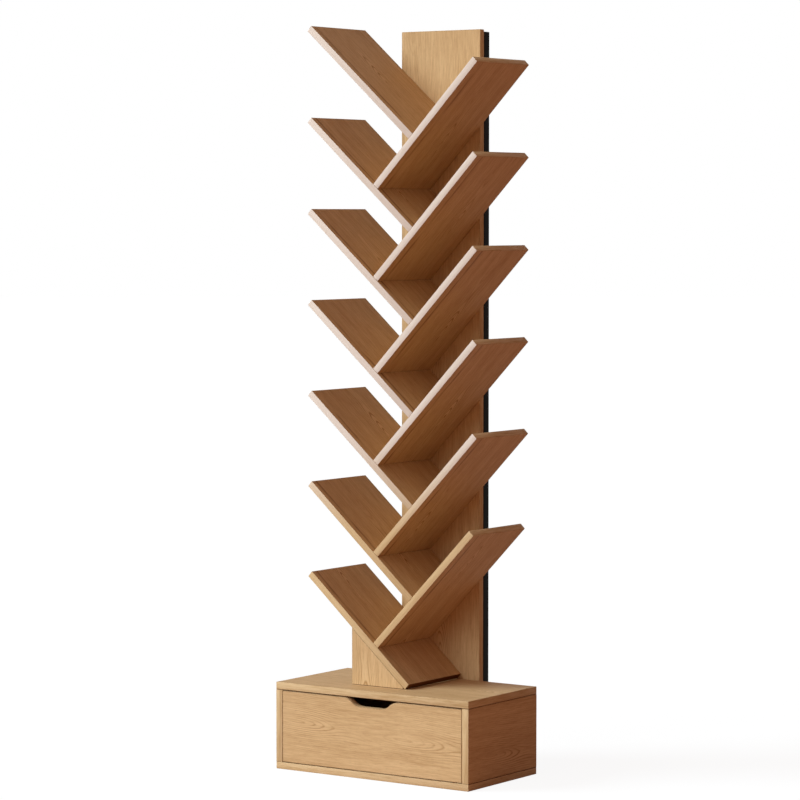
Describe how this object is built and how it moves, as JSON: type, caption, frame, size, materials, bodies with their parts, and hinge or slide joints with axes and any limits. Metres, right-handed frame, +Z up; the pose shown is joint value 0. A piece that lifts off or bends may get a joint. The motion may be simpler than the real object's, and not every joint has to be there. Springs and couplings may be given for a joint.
{
  "type": "storage rack",
  "caption": "Free-standing tree-shaped book rack: slanting boards fork left and right from a back column, over a low cabinet with one drawer.",
  "frame": {"origin": "on the floor, under the middle of the base cabinet", "axes": "+Z up, -Y towards the front where the drawer opens, +X to the right as seen from the front"},
  "size_m": [0.5, 0.3031, 1.602],
  "materials": {
    "oak_laminate": "light oak laminate, satin, grain along each board",
    "plain_board": "plain pale board, matt",
    "beech": "bare beech",
    "black_steel": "black powder coat, satin",
    "black_plastic": "moulded, matt",
    "zinc_steel": "zinc plated"
  },
  "bodies": {
    "rack": {"base_top_panel": "oak_laminate", "base_bottom_panel": "oak_laminate", "base_left_side": "oak_laminate", "base_right_side": "oak_laminate", "base_back_panel": "oak_laminate", "left_board_1": "oak_laminate", "left_board_2": "oak_laminate", "left_board_3": "oak_laminate", "left_board_4": "oak_laminate", "left_board_5": "oak_laminate", "left_board_6": "oak_laminate", "left_board_7": "oak_laminate", "right_board_1": "oak_laminate", "right_board_2": "oak_laminate", "right_board_3": "oak_laminate", "right_board_4": "oak_laminate", "right_board_5": "oak_laminate", "right_board_6": "oak_laminate", "support_gusset": "oak_laminate", "back_column": "oak_laminate", "left_runner": "beech", "right_runner": "beech", "gusset_foot_dowel": "beech", "gusset_top_dowel": "beech", "left_post": "black_steel", "right_post": "black_steel", "left_post_cap": "black_plastic", "right_post_cap": "black_plastic", "left_post_foot": "black_plastic", "right_post_foot": "black_plastic", "left_board_1_screw": "zinc_steel", "left_board_2_screw": "zinc_steel", "left_board_3_screw": "zinc_steel", "left_board_4_screw": "zinc_steel", "left_board_5_screw": "zinc_steel", "left_board_6_screw": "zinc_steel", "left_board_7_screw": "zinc_steel", "right_board_1_screw": "zinc_steel", "right_board_2_screw": "zinc_steel", "right_board_3_screw": "zinc_steel", "right_board_4_screw": "zinc_steel", "right_board_5_screw": "zinc_steel", "right_board_6_screw": "zinc_steel", "column_screw_left": "zinc_steel", "column_screw_right": "zinc_steel", "left_post_screw_bottom": "zinc_steel", "left_post_screw_top": "zinc_steel", "right_post_screw_bottom": "zinc_steel", "right_post_screw_top": "zinc_steel", "base_screw_left_front": "zinc_steel", "base_screw_left_back": "zinc_steel", "base_screw_right_front": "zinc_steel", "base_screw_right_back": "zinc_steel"},
    "drawer": {"drawer_front": "oak_laminate", "drawer_inner_front": "plain_board", "drawer_left_side": "plain_board", "drawer_right_side": "plain_board", "drawer_back": "plain_board", "drawer_bottom": "plain_board"}
  },
  "joints": [
    {"name": "drawer_slide", "type": "slide", "parent": "rack", "child": "drawer", "axis": [0, -1, 0], "range_m": [0, 0.15]}
  ]
}
